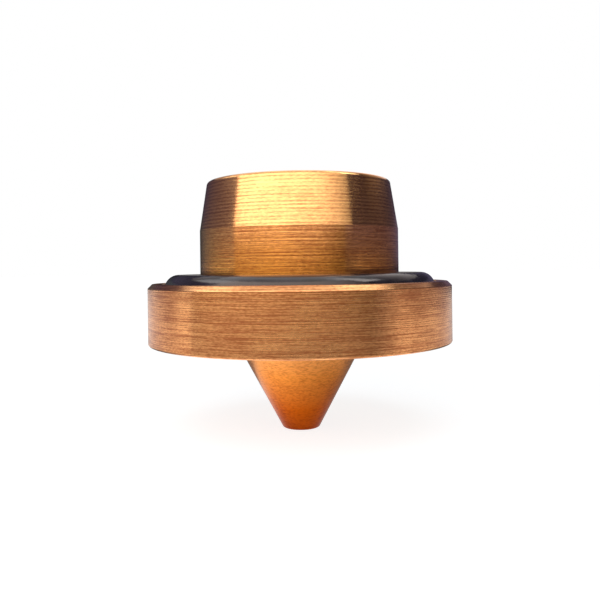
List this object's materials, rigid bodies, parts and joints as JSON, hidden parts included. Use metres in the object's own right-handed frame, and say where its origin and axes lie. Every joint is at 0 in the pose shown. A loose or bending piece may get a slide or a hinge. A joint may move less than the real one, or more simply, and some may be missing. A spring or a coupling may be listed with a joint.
{
  "type": "plasma torch nozzle",
  "caption": "Turned copper torch nozzle with a tapered hub, thick round flange, face sealing ring, converging chamber and blunt conical tip with a central orifice.",
  "frame": {"origin": "on the nozzle's axis at the height of the flange's upper face, the seating plane, which is the foot of the hub", "axes": "+Z along the axis, out of the hub and into the torch head; the tip and the jet point along -Z; X and Y are any pair of directions across the axis, because the nozzle is round"},
  "size_m": [0.028, 0.028, 0.0229],
  "materials": {
    "copper": "satin",
    "seal_rubber": "matte"
  },
  "bodies": {
    "root": {"nozzle_body": "copper", "seal_ring": "seal_rubber"}
  },
  "joints": []
}
